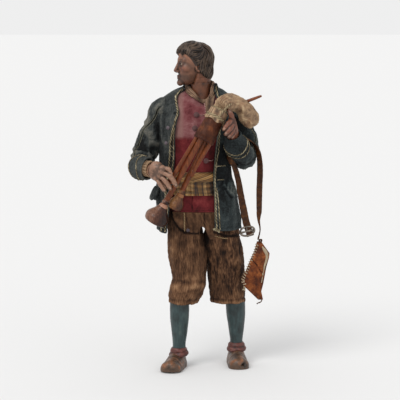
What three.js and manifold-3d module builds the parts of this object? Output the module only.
// A presepe figure: a dressed shepherd piper of modelled terracotta, wood and cloth, playing a zampogna.
// Millimetres, +Z up. The figure faces -Y, so its right hand is at -X.
import * as THREE from "three";
import { LoftGeometry } from "three/addons/geometries/LoftGeometry.js";
import { mergeVertices } from "three/addons/utils/BufferGeometryUtils.js";
import Module from "manifold-3d";

const wasm = await Module();
wasm.setup();

// The body canon: the free forms are shares of the figure's height, in canon parts
const HEIGHT = 370;
const CANON_PARTS = 330;
const PART = HEIGHT / CANON_PARTS;

// Sizes that are set by themselves, in millimetres
const FIT_GAP = 0.35;
const COAT_CLOTH = 1.7;
const SASH_THICKNESS = 1.8;
const SASH_WIDTH = 28;
const SASH_GAP = 0.5;
const COLLAR_THICKNESS = 2.2;
const HEM_RECESS = 6;
const CUFF_RECESS = 7;
const SHIRT_CUFF_WALL = 1.4;
const SHIRT_CUFF_LENGTH = 11;
const SOLE_THICKNESS = 2.2;
const STOCK_LENGTH = 34;
const STOCK_TOP_RADIUS = 9.2;
const STOCK_FOOT_RADIUS = 11.6;
const CHANTER_RADIUS = 2.9;
const DRONE_RADIUS = 2.3;
const SOCKET_DEPTH = 4;
const BLOWPIPE_RADIUS = 1.5;
const BLOWPIPE_LENGTH = 20;
const BINDING_CORD = 1.5;
const BINDING_TURNS = 3;
const STRAP_WIDTH = 7;
const STRAP_THICKNESS = 1.5;
const BUCKLE_WIRE = 1.7;
const BUCKLE_WIDTH = 18.5;
const BUCKLE_LENGTH = 12.5;
const BUCKLE_DEPTH = 2.8;
const BUCKLE_TILT = THREE.MathUtils.degToRad(14);
const POUCH_THICKNESS = 6;
const BUTTON_RADIUS = 3;
const BUTTON_HEIGHT = 2.2;
const COAT_BUTTON_RADIUS = 2.2;

const TURN = 2 * Math.PI;
const UP = new THREE.Vector3(0, 0, 1);

// A point of the figure, given in canon parts
const at = (x, y, z) => new THREE.Vector3(x, y, z).multiplyScalar(PART);
const range = (count) => [...Array(count).keys()];
const mix = THREE.MathUtils.lerp;
const ease = THREE.MathUtils.smoothstep;

// Rows of numbers read as one smooth curve: the first column is the key
function along(rows, key) {
  const last = rows.length - 1;
  const i = Math.max(0, Math.min(last - 1, rows.findIndex((row) => row[0] > key) - 1));
  const k = key >= rows[last][0] ? last - 1 : i;
  const t = THREE.MathUtils.clamp((key - rows[k][0]) / (rows[k + 1][0] - rows[k][0]), 0, 1);
  const before = rows[Math.max(k - 1, 0)];
  const after = rows[Math.min(k + 2, last)];
  return rows[k].map((start, column) => {
    const end = rows[k + 1][column];
    const span = rows[k + 1][0] - rows[k][0];
    const m0 = ((end - before[column]) / Math.max(rows[k + 1][0] - before[0], 1e-6)) * span;
    const m1 = ((after[column] - start) / Math.max(after[0] - rows[k][0], 1e-6)) * span;
    const t2 = t * t;
    const t3 = t2 * t;
    const ends = (2 * t3 - 3 * t2 + 1) * start + (3 * t2 - 2 * t3) * end;
    return ends + (t3 - 2 * t2 + t) * m0 + (t3 - t2) * m1;
  });
}

// A closed geometry as a solid, turned the right way out
function solid(geometry) {
  const points = new THREE.BufferGeometry();
  points.setAttribute("position", geometry.getAttribute("position"));
  points.setIndex(geometry.index);
  const merged = mergeVertices(points, 1e-4);
  const build = (triVerts) =>
    new wasm.Manifold(
      new wasm.Mesh({ numProp: 3, vertProperties: merged.attributes.position.array, triVerts }),
    );
  const made = build(new Uint32Array(merged.index.array));
  return made.volume() > 0 ? made : build(new Uint32Array(merged.index.array).reverse());
}

const loft = (sections) => solid(new LoftGeometry(sections, { capStart: true, capEnd: true }));
// A ring through sections that come back to the first one
const ringOf = (sections) => solid(new LoftGeometry([...sections, sections[0]]));
const union = (solids) => wasm.Manifold.union(solids);

// The largest body that is left of a piece after its neighbours are cut from it
function cut(piece, ...neighbours) {
  const left = neighbours.length ? piece.subtract(union(neighbours)) : piece;
  return left.decompose().sort((a, b) => b.volume() - a.volume())[0];
}

// A tube of round sections at shares of a path. rows: share, half width along side, half width across it
function tube(path, side, rows, sides, shares, wave = () => 1, grow = 0) {
  return loft(
    shares.map((t) => {
      const [, wide, deep] = along(rows, t);
      const centre = path.getPoint(t);
      const tangent = path.getTangent(t);
      const across = side.clone().addScaledVector(tangent, -side.dot(tangent)).normalize();
      const over = tangent.clone().cross(across);
      return range(sides).map((i) => {
        const angle = (i / sides) * TURN;
        const w = wave(angle, t);
        return centre
          .clone()
          .addScaledVector(across, Math.cos(angle) * (wide * PART * w + grow))
          .addScaledVector(over, Math.sin(angle) * (deep * PART * w + grow));
      });
    }),
  );
}

const curve = (...points) => new THREE.CatmullRomCurve3(points, false, "centripetal");

// A turned piece along an axis. profile: distance along the axis and radius, both in millimetres
function turned(start, direction, profile, sides = 12) {
  const end = profile[profile.length - 1];
  const outline = [[profile[0][0], 0], ...profile, [end[0], 0]];
  const geometry = new THREE.LatheGeometry(outline.map(([y, r]) => new THREE.Vector2(r, y)), sides);
  const turn = new THREE.Quaternion().setFromUnitVectors(new THREE.Vector3(0, 1, 0), direction);
  geometry.applyMatrix4(new THREE.Matrix4().compose(start, turn, new THREE.Vector3(1, 1, 1)));
  return solid(geometry);
}

// Heights that the sash, the waistcoat and the breeches share
const SASH_MIDDLE = 187;
const SASH_HALF = SASH_WIDTH / PART / 2;
const SASH_TOP = SASH_MIDDLE + SASH_HALF;
const WAISTCOAT_SKIRT = 14.5;
const WAISTCOAT_HEM = SASH_MIDDLE - SASH_HALF - WAISTCOAT_SKIRT;
const BREECHES_TOP = WAISTCOAT_HEM - FIT_GAP / PART;

// Rings of the trunk and the clothes. Rows: height, middle x and y, half width, half depth, rise to the back
const TRUNK = [
  [WAISTCOAT_HEM, -1.5, -5, 33.5, 23, 0],
  [186, -4.5, -6, 28.6, 21, 0],
  [208, -5, -7, 30, 21.5, 0],
  [236, -4, -7.5, 34, 21.5, 0],
  [254, -3.5, -6.5, 35, 20, 1],
  [265, -3, -5.5, 33.5, 17, 3],
  [271.5, -2, -4.5, 28, 14.5, 4.5],
  [276, -1, -3.8, 20.5, 13, 6],
  [278.5, 0.3, -3.2, 14.6, 12, 7],
];
const COAT = [
  [141, -1, -3, 42, 28, 0],
  [160, -2.5, -4, 41.5, 28, 0],
  [179, -4.6, -5, 40, 27.2, 0],
  [192, -5, -6, 36.8, 26, 0],
  [206, -4.8, -6.5, 35.6, 25.5, 0],
  [222, -5.4, -7.2, 35.6, 25.5, 0],
  [238, -4.8, -7.5, 37.8, 25.5, 0],
  [254, -4, -6.5, 39, 23.5, 1],
  [265, -3.5, -5.5, 39.3, 20.5, 3],
  [272, -2.5, -4.5, 33.5, 18, 4.5],
  [277, -0.8, -3.8, 24.8, 16, 6],
  [279.5, 0, -3.2, 18, 14.6, 6.5],
  [282, 0.5, -3, 17.2, 14.8, 6.5],
];
// Where the coat's front edges lie: height, x of the right edge, x of the left edge
const COAT_EDGES = [
  [141, -33, 15.5],
  [170, -30, 14.5],
  [196, -27, 13.5],
  [214, -25.5, 14.5],
  [236, -24.5, 18],
  [250, -22.8, 19.5],
  [260, -20.5, 19.5],
  [270, -22, 18],
  [277, -22, 16.5],
  [282, -15.5, 14],
];
// How much lower the hem hangs at the right front corner
const HEM_DIP = 3;
const BREECHES_WAIST = [
  [BREECHES_TOP - 27.6, 4.5, -1, 35, 19, 0],
  [BREECHES_TOP - 19.6, 3, -2.6, 35.6, 21, 0],
  [BREECHES_TOP - 9.6, 0.5, -4, 34.5, 21.8, 0],
  [BREECHES_TOP, -1.2, -5, 32.5, 22.5, 0],
];
// The breeches' legs, from the hem up: height, centre x, centre y, half width, half depth, rise to the back
const RIGHT_BREECH = [
  [66.5, -16.6, -6, 13.8, 14.5, -1],
  [74, -14.6, -7, 16.4, 16.5, 0],
  [86, -11.2, -7.5, 17.4, 17.5, 0],
  [92, -10.8, -7, 17, 17.2, 0],
  [112, -12.2, -5.5, 18.9, 18.5, 0],
  [130, -14.2, -3.5, 18.2, 18.5, 0],
  [143, -14.4, -3, 18, 18, 0],
];
const LEFT_BREECH = [
  [64.5, 28, 9.5, 17.3, 16.5, 0],
  [80, 27.2, 8, 18, 17.5, 0],
  [100, 25.9, 5.5, 18.8, 18.5, 0],
  [118, 23.9, 2.5, 18.5, 19.2, 0],
  [132, 21.8, -1.5, 17.8, 18.5, 0],
  [143, 20, -3.8, 15.4, 15.8, 0],
];

// A point on a ring of one of these tables, at an angle from the figure's left side round by the back
function ringPoint(rows, height, angle, grow = 0, drape = () => 0) {
  const [, cx, cy, wide, deep, rise] = along(rows, height);
  const fold = drape(angle, height);
  const c = Math.cos(angle);
  const s = Math.sin(angle);
  return new THREE.Vector3(
    cx * PART + c * ((wide + fold) * PART + grow),
    cy * PART + s * ((deep + fold) * PART + grow),
    (height + rise * s) * PART,
  );
}

function ringStack(rows, heights, sides, grow = 0, drape) {
  const last = heights.length - 1;
  return loft(
    heights.map((height, n) =>
      range(sides).map((i) => {
        const point = ringPoint(rows, height, (i / sides) * TURN, grow, drape);
        point.z += n === last ? grow : n === 0 ? -grow : 0;
        return point;
      }),
    ),
  );
}

const between = (low, high, count) => range(count + 1).map((i) => mix(low, high, i / count));

// The waistcoat over the stuffed trunk
const TRUNK_SIDES = 20;
const TRUNK_TOP = TRUNK[TRUNK.length - 1][0];
const CHEST = 237;
const SASH_HEIGHTS = between(SASH_MIDDLE - SASH_HALF, SASH_TOP, 2);
const CHEST_HEIGHTS = [(SASH_TOP + CHEST) / 2, CHEST, 254, 262, 268, 273, 276];
const TRUNK_HEIGHTS = [WAISTCOAT_HEM, ...SASH_HEIGHTS, ...CHEST_HEIGHTS, TRUNK_TOP];
const waistcoatDrape = (angle, height) =>
  0.5 * Math.sin(7 * angle + 0.05 * height) * ease(height, 160, 200) * (1 - ease(height, 235, 262));
const trunk = (grow) => ringStack(TRUNK, TRUNK_HEIGHTS, TRUNK_SIDES, grow, waistcoatDrape);

// The coat: a shell of cloth round the trunk, open in front, with both sleeves sewn on
const COAT_COLUMNS = 16;
const COAT_HEM = COAT[0][0];
const COAT_TOP = COAT[COAT.length - 1][0];
const COAT_HEIGHTS = [COAT_HEM, 160, 179, 192, 206, 228, 250, 263, 271, 276, 279.5, COAT_TOP];
const SKIRT_FOLDS = 7;
const coatDrape = (angle, height) =>
  1.5 * (1 - ease(height, 141, 200)) * Math.sin(SKIRT_FOLDS * angle + 0.6) +
  0.7 * Math.sin(3 * angle + height / 9) * ease(height, 170, 205) * (1 - ease(height, 235, 260));

function coatPoint(share, height, inwards) {
  const [, cx, , wide] = along(COAT, height);
  const [, rightEdge, leftEdge] = along(COAT_EDGES, height);
  const from = -Math.acos(THREE.MathUtils.clamp((leftEdge - cx) / wide, -0.98, 0.98));
  const to = TURN - Math.acos(THREE.MathUtils.clamp((rightEdge - cx) / wide, -0.98, 0.98));
  const point = (s, z) => ringPoint(COAT, z, mix(from, to, s), 0, coatDrape);
  const outside = point(share, height);
  outside.z -= HEM_DIP * share ** 3 * (1 - ease(height, COAT_HEM, 172)) * PART;
  const step = 0.01;
  const round = point(share + step, height).sub(point(share - step, height));
  const low = Math.max(height - 1, COAT_HEM);
  const high = Math.min(height + 1, COAT_TOP);
  const rise = point(share, high).sub(point(share, low));
  return outside.addScaledVector(round.cross(rise).normalize(), -inwards);
}

function coatShell(grow) {
  const shares = between(0, 1, COAT_COLUMNS);
  return loft(
    COAT_HEIGHTS.map((height) => {
      const lift = height === COAT_TOP ? grow : height === COAT_HEM ? -grow : 0;
      const outside = shares.map((share) => coatPoint(share, height, -grow));
      const lining = shares.toReversed().map((share) => coatPoint(share, height, COAT_CLOTH + grow));
      return [...outside, ...lining].map((point) => point.addScaledVector(UP, lift));
    }),
  );
}

// Sleeves: shoulder, elbow and cuff, then half widths along the way
const SLEEVE_SIDES = 12;
const RIGHT_ARM = curve(
  at(-24, -5.5, 256),
  at(-35, -6, 261.2),
  at(-41.5, -5.5, 249.5),
  at(-49, -3, 231),
  at(-56, -4, 213),
  at(-58, -20, 206),
  at(-56.2, -42.5, 204.5),
);
const LEFT_ARM = curve(
  at(21, -5, 257),
  at(31.5, -4.5, 260.5),
  at(39.5, -1.5, 250),
  at(44.8, 1, 232),
  at(44.5, -3, 213.5),
  at(42.3, -20, 216.3),
  at(34.5, -41, 228.5),
);
const SLEEVE = [
  [0, 6, 8],
  [0.08, 8.6, 10.5],
  [0.17, 10.2, 12],
  [0.4, 10.4, 11.6],
  [0.6, 11.8, 11.6],
  [0.74, 11, 10.6],
  [0.88, 10.6, 10.4],
  [0.9, 11.9, 11.9],
  [1, 12, 12],
];
const SLEEVE_SHARES = [0, 0.08, 0.17, 0.27, 0.37, 0.46, 0.54, 0.61, 0.68, 0.77, 0.88, 0.9, 1];
const WRIST_RADIUS = 6.2;
const sleeveDrape = (angle, t) =>
  1 + 0.05 * Math.sin(2 * angle + 26 * t) * ease(t, 0.15, 0.3) * (1 - ease(t, 0.8, 0.92));
const SLEEVE_SIDE = new THREE.Vector3(1, 0, 0);
const sleeve = (arm, grow) => tube(arm, SLEEVE_SIDE, SLEEVE, SLEEVE_SIDES, SLEEVE_SHARES, sleeveDrape, grow);

// The end of an arm's curve: where it is and which way it points
function armEnd(arm) {
  return { point: arm.getPoint(1), direction: arm.getTangent(1) };
}

// The hollow inside a cuff, that the shirt cuff and the wrist come out of
function cuffRecess(arm) {
  const { point, direction } = armEnd(arm);
  const radius = SLEEVE[SLEEVE.length - 1][1] * PART - COAT_CLOTH;
  const bottom = point.clone().addScaledVector(direction, -CUFF_RECESS);
  const profile = [
    [0, radius * 0.92],
    [CUFF_RECESS * 2, radius],
  ];
  return turned(bottom, direction, profile, SLEEVE_SIDES);
}

// Pocket flaps. Each: the angles round the body that it lies between, and how far its lower edge stands off
const FLAP_TOP = 183;
const FLAP_DROP = 12;
const FLAP_CLOTH = 1.6;
const POCKET_FLAPS = [
  { from: Math.PI - 0.3, to: Math.PI + 0.55, standOff: 4.4 },
  { from: -0.75, to: 0, standOff: 0.6 },
];

function pocketFlap({ from, to, standOff }) {
  const edge = (angle, height, out) => ringPoint(COAT, height, angle, out, coatDrape);
  return loft(
    between(from, to, 4).map((angle) => [
      edge(angle, FLAP_TOP, -COAT_CLOTH / 2),
      edge(angle, FLAP_TOP, FLAP_CLOTH / 2),
      edge(angle, FLAP_TOP - FLAP_DROP, standOff + FLAP_CLOTH),
      edge(angle, FLAP_TOP - FLAP_DROP, standOff),
    ]),
  );
}

// The room inside the coat, up to the middle of its cloth
function insideCoat() {
  const shares = between(0, 1, COAT_COLUMNS);
  const ring = (height) => shares.map((share) => coatPoint(share, height, COAT_CLOTH / 2));
  return loft(COAT_HEIGHTS.map(ring));
}

function coat(grow = 0) {
  const sleeves = [RIGHT_ARM, LEFT_ARM].map((arm) => cut(sleeve(arm, grow), insideCoat(), cuffRecess(arm)));
  return union([coatShell(grow), ...sleeves, ...POCKET_FLAPS.map(pocketFlap)]);
}

// Breeches of thick cloth, with a recess in each hem for the leg
const BREECH_SIDES = 14;
const KNEE_PINCH = 89;
const straightDrape = (angle, height) => 0.45 * Math.sin(7 * angle + height / 8);
const bentDrape = (angle, height) =>
  straightDrape(angle, height) - 0.9 * Math.exp(-(((height - KNEE_PINCH) / 4) ** 2));

// Legs: stocking from the knee to the shoe. Rows: height, centre x, centre y, half width, half depth, rise
const RIGHT_LEG = [
  [6, -21.2, -5, 6.6, 7, 0],
  [24, -21, -5, 6.6, 7, 0],
  [38, -20.6, -4.5, 8.2, 8.8, 0],
  [53, -20.6, -5.5, 9.6, 10, 0],
  [73, -20.4, -6.5, 9.6, 9.6, 0],
];
const LEFT_LEG = [
  [6, 37, 12.5, 6.4, 7, 0],
  [24, 37, 12.5, 6.4, 7, 0],
  [38, 36.9, 13, 8.2, 8.8, 0],
  [52, 36.4, 12.5, 9.7, 10, 0],
  [73, 35.6, 10, 9.7, 9.6, 0],
];
const LEG_SIDES = 10;
const HEM_CLEARANCE = 1.2;
const hemOf = (rows) => (rows === RIGHT_LEG ? RIGHT_BREECH[0][0] : LEFT_BREECH[0][0]);

function stocking(rows) {
  const top = hemOf(rows) + (HEM_RECESS - FIT_GAP) / PART;
  return ringStack(rows, [16, 27, 35, 44, 54, top], LEG_SIDES);
}

function hemRecess(rows) {
  const hem = hemOf(rows);
  return ringStack(rows, [hem - 4, hem + HEM_RECESS / PART], LEG_SIDES, HEM_CLEARANCE);
}

// A shoe: sections from heel to toe. Rows: distance from the heel, half width, height
const SHOE = [
  [0, 5.4, 11],
  [2.5, 8.2, 16.5],
  [10, 9.8, 21],
  [18, 10.1, 20],
  [26, 10.3, 15.5],
  [33, 10.5, 12.5],
  [39, 9.5, 11],
  [42.5, 6.8, 8.5],
];
const SHOE_SIDES = 12;
const SOLE_SIDES = 14;
const HEEL_TO_ANKLE = 11.5;
const SHOE_COLLAR_FOOT = 13.5;
// The rolled top of the shoe. Rows: height over its foot, radius
const SHOE_COLLAR = [
  [0, 8.7],
  [2, 9.7],
  [4.5, 9.1],
  [7, 8.8],
  [8.5, 7.1],
];

function shoe(ankle, toeOut, shift) {
  const forward = new THREE.Vector3(Math.sin(toeOut), -Math.cos(toeOut), 0);
  const side = new THREE.Vector3(-forward.y, forward.x, 0);
  const heel = at(ankle[1] + shift, ankle[2], 0).addScaledVector(forward, -HEEL_TO_ANKLE * PART);
  const upper = loft(
    SHOE.map(([distance, wide, high]) =>
      range(SHOE_SIDES).map((i) => {
        const angle = (i / SHOE_SIDES) * TURN;
        const c = Math.cos(angle);
        const s = Math.sin(angle);
        const flat = s < 0 ? -Math.min(1, -s * 6) : s;
        const belly = s < 0 ? 1 : Math.sqrt(1 - 0.35 * s);
        return heel
          .clone()
          .addScaledVector(forward, distance * PART)
          .addScaledVector(side, c * wide * PART * belly)
          .addScaledVector(UP, (flat < 0 ? (1 + flat) * 3 : 3 + flat * (high - 3)) * PART);
      }),
    ),
  );
  const collarFoot = at(ankle[1], ankle[2], SHOE_COLLAR_FOOT).addScaledVector(forward, PART);
  const collarProfile = SHOE_COLLAR.map(([rise, wide]) => [rise * PART, wide * PART]);
  const collar = turned(collarFoot, UP, collarProfile, SHOE_SIDES);
  const sole = loft(
    [0, SOLE_THICKNESS].map((height) =>
      range(SOLE_SIDES).map((i) => {
        const angle = (i / SOLE_SIDES) * TURN;
        const lengthwise = 21.4 + 22 * Math.cos(angle);
        const wide = mix(8.6, 10.5, ease(lengthwise, 8, 30));
        return heel
          .clone()
          .addScaledVector(forward, lengthwise * PART)
          .addScaledVector(side, Math.sin(angle) * wide * PART)
          .addScaledVector(UP, height);
      }),
    ),
  );
  return union([upper, collar, sole]);
}

const RIGHT_TOE_OUT = THREE.MathUtils.degToRad(-14);
const LEFT_TOE_OUT = THREE.MathUtils.degToRad(5);
const RIGHT_SHOE_SHIFT = -2.3;
const leg = (rows, toeOut, shift) => {
  const [height, x, y] = rows[0];
  return union([stocking(rows), shoe([height, x, y], toeOut, shift)]);
};

function breeches() {
  const legTop = BREECHES_TOP - 17.6;
  const knee = [70, 77, 84, KNEE_PINCH, 94];
  const right = [RIGHT_BREECH[0][0], ...knee, ...between(108, legTop, 2)];
  const left = [LEFT_BREECH[0][0], 70, 82, ...between(96, legTop, 3)];
  const legs = [
    ringStack(RIGHT_BREECH, right, BREECH_SIDES, 0, bentDrape),
    ringStack(LEFT_BREECH, left, BREECH_SIDES, 0, straightDrape),
  ];
  const waist = ringStack(BREECHES_WAIST, BREECHES_WAIST.map(([height]) => height), TRUNK_SIDES);
  return cut(union([...legs, waist]), hemRecess(RIGHT_LEG), hemRecess(LEFT_LEG));
}

// The sash, wound round the waist over the waistcoat. Its folds are thicknesses from the lower edge up
const SASH_FOLDS = [0.5, 1.1, 0.8, 1.1, 0.6, 1.5, 0.6];

function sash() {
  const rings = range(TRUNK_SIDES).map((k) => {
    const angle = (k / TRUNK_SIDES) * TURN;
    const edge = (share, out) => {
      const height = SASH_MIDDLE + mix(-SASH_HALF, SASH_HALF, share);
      return ringPoint(TRUNK, height, angle, SASH_GAP + out, waistcoatDrape);
    };
    const outside = SASH_FOLDS.map((fold, i) =>
      edge(i / (SASH_FOLDS.length - 1), SASH_THICKNESS * (fold + 0.18 * Math.sin(3 * angle + 2 * i))),
    );
    return [edge(1, 0), edge(0.5, 0), edge(0, 0), ...outside];
  });
  return ringOf(rings);
}

// The head. Its own frame: x forwards, y to its left, z up, in canon parts from the middle of the skull
const HEAD_CENTRE = at(-6.6, -5, 304.3);
const HEAD_TURN = THREE.MathUtils.degToRad(198);
const HEAD_DETAIL = 7;
const HEAD_SIZE = 0.965;
const LOOK_BIAS = 0.35;

const blendMin = (a, b, k) => {
  const h = THREE.MathUtils.clamp(0.5 + (0.5 * (b - a)) / k, 0, 1);
  return mix(b, a, h) - k * h * (1 - h);
};
const blendCut = (a, b, k) => -blendMin(-a, b, k);

function ball(p, [x, y, z], [a, b, c]) {
  const d = [(p.x - x) / a, (p.y - y) / b, (p.z - z) / c];
  const k0 = Math.hypot(...d);
  const k1 = Math.hypot(d[0] / a, d[1] / b, d[2] / c);
  return k1 < 1e-9 ? -Math.min(a, b, c) : (k0 * (k0 - 1)) / k1;
}

function bar(p, from, to, r0, r1) {
  const a = new THREE.Vector3(...from);
  const ab = new THREE.Vector3(...to).sub(a);
  const ap = p.clone().sub(a);
  const t = THREE.MathUtils.clamp(ap.dot(ab) / ab.lengthSq(), 0, 1);
  return ap.addScaledVector(ab, -t).length() - mix(r0, r1, t);
}

// Distance from the face and skull, alike on both sides
function skullDistance(p) {
  const q = new THREE.Vector3(p.x, Math.abs(p.y), p.z);
  let d = ball(q, [-2, 0, 6.5], [17.2, 13.6, 15]);
  d = blendMin(d, ball(q, [5.2, 0, -4.5], [11.2, 10.6, 14.5]), 5);
  d = blendMin(d, ball(q, [-8.5, 0, -6.5], [9.5, 9.6, 11]), 4);
  d = blendMin(d, ball(q, [7.4, 0, -15.2], [8, 6.8, 5.6]), 4);
  d = blendMin(d, ball(q, [9.6, 7.6, -3.6], [4.4, 3.4, 3.4]), 3);
  d = blendMin(d, bar(q, [14, 0, 4.4], [12.4, 7, 4.2], 2, 1.7), 2.2);
  d = blendCut(d, ball(q, [17.2, 5.4, 0.6], [3.6, 3.2, 2.4]), 1.8);
  d = blendMin(d, ball(q, [12.4, 5.2, 0.4], [3, 3, 2.6]), 0.8);
  d = blendMin(d, bar(q, [14.8, 0, 3], [19.2, 0, -6.2], 1.5, 2), 1.4);
  d = blendMin(d, ball(q, [17.4, 1.9, -7.2], [1.9, 1.5, 1.4]), 0.9);
  d = blendMin(d, bar(q, [16.4, 0, -11.6], [14.9, 3.1, -12], 1.1, 0.6), 0.9);
  d = blendMin(d, bar(q, [16.1, 0, -13.7], [14.8, 2.6, -13], 1.3, 0.6), 0.9);
  return blendMin(d, ball(q, [14, 0, -18.6], [3.4, 4, 3.4]), 2);
}

// How far the hair stands over the skull: none on the face, ridged by combed locks
function hairThickness(p) {
  const reach = new THREE.Vector3(p.x, p.y, p.z).normalize();
  const fringe = 9.5 + 2 * Math.sin(p.y * 0.7);
  const temple = 7.5 - 0.42 * Math.abs(p.y) + 0.42 * p.z;
  const crown = ease(p.z, fringe - 1.5, fringe + 1.5);
  const side = 1 - ease(p.x, temple - 2.2, temple + 1.2);
  const nape = ease(p.z, -14.5 - 0.25 * p.x, -11 - 0.25 * p.x);
  const cover = Math.max(crown, side * nape);
  const locks = Math.sin(11 * Math.atan2(reach.y, reach.x) + 7 * reach.z) * Math.cos(5 * reach.z);
  const fullness = 2.3 + 1.2 * ease(p.x, 4, 12);
  return cover * (fullness + 0.7 * locks);
}

const headDistance = (p) => skullDistance(p) - hairThickness(p);

// How far the head reaches from its middle in one direction
function headReach(direction) {
  let outside = 34;
  let inside = 0;
  for (const near of between(33, 4, 58)) {
    if (headDistance(direction.clone().multiplyScalar(near)) < 0) {
      inside = near;
      break;
    }
    outside = near;
  }
  for (let halving = 0; halving < 9; halving++) {
    const middle = (inside + outside) / 2;
    if (headDistance(direction.clone().multiplyScalar(middle)) < 0) inside = middle;
    else outside = middle;
  }
  return inside;
}

function head() {
  const sphere = new THREE.IcosahedronGeometry(1, HEAD_DETAIL);
  sphere.deleteAttribute("normal");
  sphere.deleteAttribute("uv");
  const geometry = mergeVertices(sphere, 1e-5);
  const place = geometry.attributes.position;
  const direction = new THREE.Vector3();
  for (const i of range(place.count)) {
    direction.fromBufferAttribute(place, i).add(new THREE.Vector3(LOOK_BIAS, 0, -0.1)).normalize();
    direction.multiplyScalar(headReach(direction) * HEAD_SIZE * PART);
    place.setXYZ(i, direction.x, direction.y, direction.z);
  }
  geometry.applyMatrix4(new THREE.Matrix4().makeRotationZ(HEAD_TURN).setPosition(HEAD_CENTRE));
  return solid(geometry);
}

const NECK = [
  [0, 9.8, 9.6],
  [0.4, 9.3, 9],
  [1, 10, 9.4],
];
const NECK_PATH = curve(at(1.6, -2.5, 266), at(0.8, -3, 280), at(1, -3.5, 297));
const SIDEWAYS = new THREE.Vector3(1, 0, 0);
const neck = (grow) => tube(NECK_PATH, SIDEWAYS, NECK, 12, between(0, 1, 4), () => 1, grow);
const headSolid = head();
const headAndNeck = () => cut(union([headSolid, neck(0)]), trunk(FIT_GAP));

// The shirt's collar: a soft band that stands round the neck, low in front. Rows as for the trunk
const COLLAR_SIDES = 14;
const COLLAR = [
  [279, 0.6, -3.2, 15.6, 13.6, 7.2],
  [281.8, 0.9, -3.2, 14.6, 12.8, 7],
  [284.6, 1.3, -3.2, 13, 12, 6.2],
];
const collarDrape = (angle) => 0.3 * Math.sin(5 * angle);

function collar() {
  const [foot, , brim] = COLLAR.map(([height]) => height);
  const rings = range(COLLAR_SIDES).map((k) => {
    const angle = (k / COLLAR_SIDES) * TURN;
    const edge = (share, out) => ringPoint(COLLAR, mix(foot, brim, share), angle, out, collarDrape);
    const inside = [edge(1, -COLLAR_THICKNESS), edge(0, -COLLAR_THICKNESS)];
    return [...inside, edge(0, 0), edge(0.4, 0.4), edge(0.75, 0.2), edge(1, 0)];
  });
  return cut(ringOf(rings), neck(FIT_GAP), headSolid, trunk(FIT_GAP), coatShell(FIT_GAP));
}

// The zampogna: a stock with two chanters and two drones, and its bag
const STOCK_TOP = at(17.4, -50, 259);
const STOCK_AXIS = at(-13.5, -3.5, -25).normalize();
const STOCK_FOOT = STOCK_TOP.clone().addScaledVector(STOCK_AXIS, STOCK_LENGTH);
const STOCK_SIDE = new THREE.Vector3(0, -1, 0).cross(STOCK_AXIS).normalize();
const STOCK_PROFILE = [
  [0, STOCK_TOP_RADIUS * 0.9],
  [1.2, STOCK_TOP_RADIUS],
  [STOCK_LENGTH * 0.5, mix(STOCK_TOP_RADIUS, STOCK_FOOT_RADIUS, 0.55)],
  [STOCK_LENGTH - 1.5, STOCK_FOOT_RADIUS],
  [STOCK_LENGTH, STOCK_FOOT_RADIUS * 0.93],
];
const STOCK_SIDES = 14;
const stock = (grow = 0) =>
  turned(
    STOCK_TOP.clone().addScaledVector(STOCK_AXIS, -grow),
    STOCK_AXIS,
    STOCK_PROFILE.map(([y, r], i) => [y + (i ? 2 * grow : 0), r + grow]),
    STOCK_SIDES,
  );

const PIPE_SIDES = 10;
const LONG_BELL = { mouth: 13.2, length: 23 };
const SHORT_BELL = { mouth: 8.6, length: 18 };
const DRONE_TIP = { mouth: DRONE_RADIUS * 1.4, length: 7 };
// Pipes. root: how far across and behind the stock's axis, in radii of its foot. end: in canon parts
const CHANTERS = [
  { name: "long_chanter", root: [-0.28, 0.3], end: [-44.2, -47.5, 153], tip: LONG_BELL },
  { name: "short_chanter", root: [0.2, -0.22], end: [-25.2, -43, 166], tip: SHORT_BELL },
];
const DRONES = [
  { name: "long_drone", root: [-0.68, 0.02], end: [-29.5, -53.5, 192], tip: DRONE_TIP },
  { name: "short_drone", root: [0.66, 0.12], end: [-9.5, -48, 198], tip: DRONE_TIP },
];
const PIPES = [
  ...CHANTERS.map((pipe) => ({ ...pipe, radius: CHANTER_RADIUS })),
  ...DRONES.map((pipe) => ({ ...pipe, radius: DRONE_RADIUS })),
];

// Where a pipe leaves the stock, which way it points and how long it is from there
function pipeLine({ root, end }) {
  const front = STOCK_AXIS.clone().cross(STOCK_SIDE);
  const start = STOCK_FOOT.clone()
    .addScaledVector(STOCK_SIDE, root[0] * STOCK_FOOT_RADIUS)
    .addScaledVector(front, root[1] * STOCK_FOOT_RADIUS);
  const way = at(...end).sub(start);
  return { start, length: way.length(), direction: way.normalize() };
}

// A chanter swells into a bell below a turned bead
function bellProfile({ radius, tip: { mouth, length: bell } }, length) {
  const foot = length - bell;
  return [
    [foot - 4, radius * 1.1],
    [foot - 2, radius * 1.45],
    [foot, radius * 1.2],
    [foot + bell * 0.3, mix(radius, mouth, 0.42)],
    [foot + bell * 0.62, mix(radius, mouth, 0.94)],
    [foot + bell * 0.8, mouth],
    [length, mouth * 0.84],
  ];
}

// A drone ends in a short thicker tip
const droneProfile = ({ radius, tip: { mouth, length: tip } }, length) => [
  [length - tip, radius * 1.1],
  [length - tip + 1, mouth],
  [length - 1, mouth],
  [length, radius * 1.1],
];

function pipe(spec, grow = 0) {
  const { start, direction, length } = pipeLine(spec);
  const end = spec.tip === DRONE_TIP ? droneProfile(spec, length) : bellProfile(spec, length);
  const profile = [[-SOCKET_DEPTH, spec.radius], ...end];
  const grown = profile.map(([y, r]) => [y + (y === length ? grow : 0), r + grow]);
  return turned(start, direction, grown, PIPE_SIDES);
}

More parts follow.
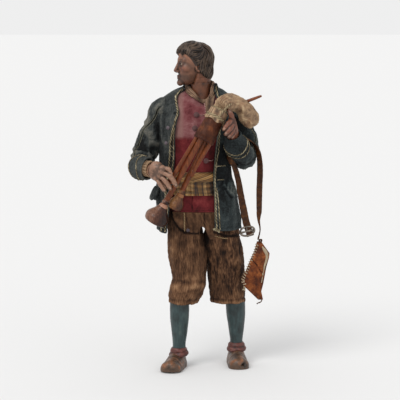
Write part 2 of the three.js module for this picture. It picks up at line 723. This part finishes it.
// The hollow in a pipe's end
function pipeMouth({ radius, tip, ...line }) {
  const { start, direction, length } = pipeLine(line);
  const depth = tip.length * 0.7;
  const profile = [
    [0, radius * 0.5],
    [depth * 0.5, tip.mouth * (tip === DRONE_TIP ? 0.4 : 0.55)],
    [depth * 1.3, tip.mouth * (tip === DRONE_TIP ? 0.57 : 0.8)],
  ];
  return turned(start.addScaledVector(direction, length - depth), direction, profile, PIPE_SIDES);
}

const BAG_PATH = curve(
  at(17.9, -49.6, 260.2),
  at(21.5, -47.5, 267),
  at(30, -42.5, 268.8),
  at(38.5, -38.5, 265.8),
  at(44.5, -36, 259.5),
  at(48, -34.5, 251.5),
  at(49.6, -34, 244),
);
const BAG = [
  [0, 5.2, 5.2],
  [0.06, 5.6, 5.6],
  [0.12, 6, 6],
  [0.25, 8, 8.6],
  [0.42, 7.6, 8.6],
  [0.6, 8.4, 9.4],
  [0.8, 8.9, 9.6],
  [0.93, 7.2, 8],
  [1, 3, 3.4],
];
const BAG_SIDE = new THREE.Vector3(0.4, 0, 1);
const bagDrape = (angle, t) =>
  1 + 0.05 * Math.sin(5 * angle + 9 * t) * ease(t, 0.1, 0.2) + 0.06 * Math.sin(2 * angle - 14 * t);
const bagBody = (grow) => tube(BAG_PATH, BAG_SIDE, BAG, 12, between(0, 1, 12), bagDrape, grow);

// Cord turns that tie the bag's mouth to the stock
const BINDING_LENGTH = BINDING_CORD * BINDING_TURNS;
const BINDING_VALLEY = STOCK_TOP_RADIUS * 0.86;

function binding(grow = 0) {
  const start = STOCK_TOP.clone().addScaledVector(STOCK_AXIS, -FIT_GAP - BINDING_LENGTH - grow);
  const profile = range(BINDING_TURNS).flatMap((turn) => [
    [(turn + 0.15) * BINDING_CORD, BINDING_VALLEY + grow],
    [(turn + 0.6) * BINDING_CORD, BINDING_VALLEY + BINDING_CORD / 2 + grow],
  ]);
  profile.push([BINDING_LENGTH + 2 * grow, BINDING_VALLEY + grow]);
  return turned(start, STOCK_AXIS, profile, STOCK_SIDES);
}

// The blowpipe comes out of the bag's shoulder and tapers to its mouthpiece
const BLOWPIPE_ROOT = at(43, -37, 268.6);
const BLOWPIPE_AXIS = at(16, -3, 6.2).normalize();
const BLOWPIPE_PROFILE = [
  [0, BLOWPIPE_RADIUS * 1.3],
  [BLOWPIPE_LENGTH * 0.25, BLOWPIPE_RADIUS * 1.2],
  [BLOWPIPE_LENGTH * 0.8, BLOWPIPE_RADIUS],
  [BLOWPIPE_LENGTH, BLOWPIPE_RADIUS * 0.75],
];
const blowpipe = (grow) =>
  turned(BLOWPIPE_ROOT, BLOWPIPE_AXIS, BLOWPIPE_PROFILE.map(([y, r]) => [y, r + grow]), 8);

// Hands. Each finger is a bent tapering tube through its joints, in canon parts
const FINGER_RADIUS = 2.2;
const FINGER_SIDES = 6;
const FINGER_SIDE = new THREE.Vector3(0.3, 0.2, 1);
const FINGER_TAPER = [
  [0, 1.15],
  [0.5, 1],
  [0.92, 0.83],
  [1, 0.44],
];

function finger(points, thickness = 1) {
  const rows = FINGER_TAPER.map(([share, wide]) => {
    const radius = wide * FINGER_RADIUS * thickness;
    return [share, radius, radius];
  });
  return tube(curve(...points), FINGER_SIDE, rows, FINGER_SIDES, [0, 0.3, 0.6, 0.88, 1]);
}

// A palm, from the wrist in its cuff to the knuckles
const PALM = [
  [0, WRIST_RADIUS * 0.82, WRIST_RADIUS * 0.7],
  [0.35, WRIST_RADIUS * 0.9, WRIST_RADIUS * 0.72],
  [0.7, 8.5, 4.5],
  [1, 7.2, 3.3],
];

function palm(arm, points, side) {
  const { point, direction } = armEnd(arm);
  const wrist = point.addScaledVector(direction, 2 * FIT_GAP - CUFF_RECESS);
  return tube(curve(wrist, ...points), side, PALM, 8, between(0, 1, 5));
}

function rightHand() {
  const knuckles = [at(-54.5, -50, 205.5), at(-44, -56, 205), at(-33.5, -58.5, 201.5)];
  return union([
    palm(RIGHT_ARM, knuckles, new THREE.Vector3(0.35, 0, 1)),
    finger([at(-36, -58, 206.5), at(-30, -60, 205.5), at(-27.5, -60.5, 199)]),
    finger([at(-37, -58.5, 203), at(-28, -62, 198.5), at(-22.5, -61.5, 189.5)], 1.08),
    finger([at(-39, -57.5, 199.5), at(-32, -61.5, 194), at(-25.5, -60.5, 184.5)], 1.05),
    finger([at(-42, -56, 197), at(-36.5, -59.5, 190.5), at(-31, -58.5, 181.5)]),
    finger([at(-44, -53, 198.5), at(-38, -50, 192), at(-33, -49.5, 187)], 1.15),
  ]);
}

function leftHand() {
  const knuckles = [at(32, -48, 234.5), at(28.5, -50, 242), at(27.5, -50, 251)];
  return union([
    palm(LEFT_ARM, knuckles, new THREE.Vector3(0.2, 1, 0)),
    finger([at(30, -53, 256), at(28, -60.5, 257), at(21, -62.5, 255.5)]),
    finger([at(30, -54, 251.5), at(27.5, -61.5, 251.5), at(19.5, -63.5, 249.5)], 1.05),
    finger([at(29.5, -54, 247), at(26, -61.5, 246), at(18, -63.5, 244)], 1.05),
    finger([at(28.5, -53.5, 242.5), at(24.5, -61, 240.5), at(17.5, -63, 239)], 0.95),
    finger([at(28, -45, 246), at(25.5, -40.5, 253), at(21, -39, 258)], 1.15),
  ]);
}

// The end of a shirt sleeve, round the wrist
const SHIRT_CUFF_SIDES = 14;

function shirtCuff(arm) {
  const { point, direction } = armEnd(arm);
  const inner = WRIST_RADIUS * PART + FIT_GAP;
  const outer = inner + SHIRT_CUFF_WALL;
  const back = point.addScaledVector(direction, FIT_GAP - CUFF_RECESS);
  const outline = [
    [0, inner],
    [0, outer],
    [SHIRT_CUFF_LENGTH * 0.7, outer],
    [SHIRT_CUFF_LENGTH, outer * 0.96],
    [SHIRT_CUFF_LENGTH, inner],
  ];
  const rings = range(SHIRT_CUFF_SIDES).map((i) => {
    const side = new THREE.Vector3(0, 0, 1).cross(direction).normalize();
    side.applyAxisAngle(direction, (i / SHIRT_CUFF_SIDES) * TURN);
    return outline.map(([y, r]) => back.clone().addScaledVector(direction, y).addScaledVector(side, r));
  });
  return ringOf(rings);
}

// The strap over the left forearm: its middle line, in canon parts
const STRAP_ROUTE = [
  [50.2, -15, 134.6],
  [45.6, -15, 149],
  [42.6, -15, 164],
  [40, -16, 177.5],
  [37.3, -18, 192.5],
  [33.2, -20.5, 206],
  [29, -21.5, 212],
  [27.8, -21.5, 219],
  [30.5, -20, 226.5],
  [37, -17.5, 231.8],
  [44.5, -15.5, 231.8],
  [51.5, -13.5, 228],
  [56.6, -12, 220.5],
  [58.9, -12, 210],
  [59.3, -13, 198],
  [58.7, -14, 178],
  [58.6, -15, 160],
  [58.2, -15, 151],
  [59.6, -15, 141],
  [57.6, -15, 131],
];

// The strap's width in strap widths and its twist, at shares of the route
const QUARTER = Math.PI / 2;
const STRAP_SHAPE = [
  [0, 1.15, QUARTER],
  [0.1, 1.1, QUARTER],
  [0.25, 0.85, QUARTER * 0.9],
  [0.32, 0.85, QUARTER * 0.6],
  [0.37, 0.72, 0],
  [0.46, 0.72, 0],
  [0.56, 0.85, 0],
  [0.64, 0.9, -QUARTER * 0.5],
  [0.74, 0.95, -QUARTER * 0.8],
  [0.85, 0.8, -QUARTER],
  [0.92, 0.26, -QUARTER],
  [1, 0.24, -QUARTER],
];
const STRAP_STEPS = 36;
const STRAP_PATH = curve(...STRAP_ROUTE.map((point) => at(...point)));

function strap(grow) {
  return loft(
    between(0, 1, STRAP_STEPS).map((t) => {
      const tangent = STRAP_PATH.getTangent(t);
      const [, width, twist] = along(STRAP_SHAPE, t);
      const flat = new THREE.Vector3(0, 1, 0).applyAxisAngle(tangent, twist);
      flat.addScaledVector(tangent, -flat.dot(tangent)).normalize();
      const proud = tangent.clone().cross(flat);
      return [[-1, -1], [1, -1], [1, 1], [-1, 1]].map(([a, b]) =>
        STRAP_PATH.getPoint(t)
          .addScaledVector(flat, a * ((width * STRAP_WIDTH) / 2 + grow))
          .addScaledVector(proud, b * (STRAP_THICKNESS / 2 + grow)),
      );
    }),
  );
}

// The buckle: an oval ring round the strap, with a bar across its front
const BUCKLE_CENTRE = at(46.9, -15, 139.5);

function buckle() {
  const oval = (width, length) => new THREE.Shape().absellipse(0, 0, width / 2, length / 2, 0, TURN);
  const outline = oval(BUCKLE_WIDTH, BUCKLE_LENGTH);
  outline.holes.push(oval(BUCKLE_WIDTH - 2 * BUCKLE_WIRE, BUCKLE_LENGTH - 2 * BUCKLE_WIRE));
  const settings = { depth: BUCKLE_DEPTH, bevelEnabled: false, curveSegments: 4 };
  const ring = new THREE.ExtrudeGeometry(outline, settings);
  ring.translate(0, 0, -BUCKLE_DEPTH / 2);
  const bar = new THREE.BoxGeometry(BUCKLE_WIDTH - BUCKLE_WIRE, BUCKLE_WIRE, BUCKLE_WIRE);
  bar.translate(0, 0, BUCKLE_DEPTH / 2);
  const place = new THREE.Matrix4().makeRotationX(QUARTER);
  place.premultiply(new THREE.Matrix4().makeRotationY(-BUCKLE_TILT)).setPosition(BUCKLE_CENTRE);
  return union([ring, bar].map((geometry) => solid(geometry.applyMatrix4(place))));
}

// The pouch: a folded kite of leather, thinner along its edge. Corners in canon parts, seen from the front
const POUCH_OUTLINE = [
  [55.8, 128.8],
  [60, 128.6],
  [68.2, 117],
  [67.6, 112.5],
  [65, 103],
  [62.2, 87],
  [60.2, 79],
  [62, 71],
  [57.2, 71],
  [44.4, 83.4],
  [40.9, 89],
  [41.9, 92.7],
  [44.9, 99.3],
  [49, 109.6],
  [53.1, 118.8],
];
const POUCH_MIDDLE = [56, -15, 100];
// Layers from front to back: depth in thicknesses, size of the outline
const POUCH_LAYERS = [
  [-0.5, 0.95],
  [-0.3, 1.02],
  [0.3, 1.02],
  [0.5, 0.95],
];

function pouch() {
  const [x0, y0, z0] = POUCH_MIDDLE;
  return loft(
    POUCH_LAYERS.map(([depth, size]) =>
      POUCH_OUTLINE.map(([x, z]) => {
        const point = at(mix(x0, x, size) + 0.8, y0, mix(z0, z, size));
        point.y += depth * POUCH_THICKNESS;
        return point;
      }),
    ),
  );
}

const BUTTON_SIDES = 8;

// Domed buttons, seated on the cloth. Each: x and height in canon parts
function button(surface, x, height, radius) {
  const [, cx, , wide] = along(surface, height);
  const drape = surface === TRUNK ? waistcoatDrape : coatDrape;
  const angle = -Math.acos((x - cx) / wide);
  const base = ringPoint(surface, height, angle, 0, drape);
  const next = ringPoint(surface, height, angle + 0.02, 0, drape).sub(base);
  const above = ringPoint(surface, height + 1, angle, 0, drape).sub(base);
  const out = next.cross(above).normalize();
  const dome = [
    [0, radius * 0.7],
    [BUTTON_HEIGHT * 0.35, radius],
    [BUTTON_HEIGHT * 0.75, radius * 0.8],
    [BUTTON_HEIGHT, radius * 0.35],
  ];
  return turned(base.addScaledVector(out, FIT_GAP), out, dome, BUTTON_SIDES);
}

const WAISTCOAT_BUTTONS = [[-3.5, 257], [-5, 243], [5.5, SASH_TOP + 11.5]];
const COAT_BUTTONS = [[-30.5, 243], [-33, 228]];

// The finishes of the pieces
const finish = (color, roughness) => new THREE.MeshStandardMaterial({ color, roughness, metalness: 0 });
const FINISH = {
  flesh: finish(0x9a6a52, 0.5),
  red: finish(0x7c3340, 0.85),
  wool: finish(0x3f4747, 0.95),
  linen: finish(0x9c8a6e, 0.9),
  silk: finish(0x97794c, 0.7),
  brown: finish(0x4f3a2b, 0.95),
  stocking: finish(0x3e5155, 0.6),
  wood: finish(0x8c4f33, 0.5),
  skin: finish(0xab8a66, 0.9),
  leather: finish(0x5e3a20, 0.6),
  tan: finish(0x8f4a26, 0.6),
  horn: finish(0x565049, 0.5),
  cord: finish(0xa08a5c, 0.8),
};

const figure = new THREE.Group();

function add(name, piece, material) {
  const { vertProperties, triVerts, numProp, numVert } = piece.getMesh();
  const positions = new Float32Array(numVert * 3);
  for (const i of range(numVert)) positions.set(vertProperties.subarray(i * numProp, i * numProp + 3), i * 3);
  const geometry = new THREE.BufferGeometry();
  geometry.setAttribute("position", new THREE.BufferAttribute(positions, 3));
  geometry.setIndex(new THREE.BufferAttribute(new Uint32Array(triVerts), 1));
  const mesh = new THREE.Mesh(geometry, material);
  mesh.name = name;
  figure.add(mesh);
}

// What other pieces are cut to, so that they clear it by the gap
const pipeRooms = PIPES.map((spec) => pipe(spec, FIT_GAP));
const coatRoom = cut(coat(FIT_GAP), cuffRecess(RIGHT_ARM), cuffRecess(LEFT_ARM));
const trunkRoom = trunk(FIT_GAP);
const bagRooms = [bagBody(FIT_GAP), binding(FIT_GAP), stock(FIT_GAP)];

add("head", headAndNeck(), FINISH.flesh);
add("shirt_collar", collar(), FINISH.linen);
add("waistcoat", trunk(0), FINISH.red);
add("coat", coat(), FINISH.wool);
add("sash", sash(), FINISH.silk);
add("breeches", breeches(), FINISH.brown);
add("right_leg", leg(RIGHT_LEG, RIGHT_TOE_OUT, RIGHT_SHOE_SHIFT), FINISH.stocking);
add("left_leg", leg(LEFT_LEG, LEFT_TOE_OUT, 0), FINISH.stocking);
add("right_hand", cut(rightHand(), ...pipeRooms, coatRoom, trunkRoom), FINISH.flesh);
add("left_hand", cut(leftHand(), ...pipeRooms, ...bagRooms, coatRoom), FINISH.flesh);
add("right_shirt_cuff", cut(shirtCuff(RIGHT_ARM), rightHand(), coatRoom), FINISH.linen);
add("left_shirt_cuff", cut(shirtCuff(LEFT_ARM), leftHand(), coatRoom), FINISH.linen);
add("stock", cut(stock(), ...pipeRooms), FINISH.wood);
PIPES.forEach((spec, i) => {
  const piece = cut(pipe(spec), pipeMouth(spec), ...pipeRooms.slice(0, i));
  add(spec.name, piece, FINISH.wood);
});
add("bag_binding", binding(), FINISH.cord);
add("bag", cut(bagBody(0), ...bagRooms.slice(1), blowpipe(FIT_GAP), coatRoom), FINISH.skin);
add("blowpipe", cut(blowpipe(0), coatRoom), FINISH.wood);
add("strap", cut(strap(0), coatRoom), FINISH.leather);
add("buckle", cut(buckle(), strap(FIT_GAP)), FINISH.horn);
add("pouch", cut(pouch(), strap(FIT_GAP)), FINISH.tan);
WAISTCOAT_BUTTONS.forEach(([x, z], i) => {
  const piece = cut(button(TRUNK, x, z, BUTTON_RADIUS), trunkRoom, ...pipeRooms);
  add(`waistcoat_button_${i + 1}`, piece, FINISH.red);
});
COAT_BUTTONS.forEach(([x, z], i) => {
  const piece = cut(button(COAT, x, z, COAT_BUTTON_RADIUS), coatRoom);
  add(`coat_button_${i + 1}`, piece, FINISH.horn);
});

// The origin is on the ground, below the middle of the figure
const bounds = new THREE.Box3().setFromObject(figure);
const middle = bounds.getCenter(new THREE.Vector3());
figure.position.set(-middle.x, -middle.y, -bounds.min.z);

export default figure;
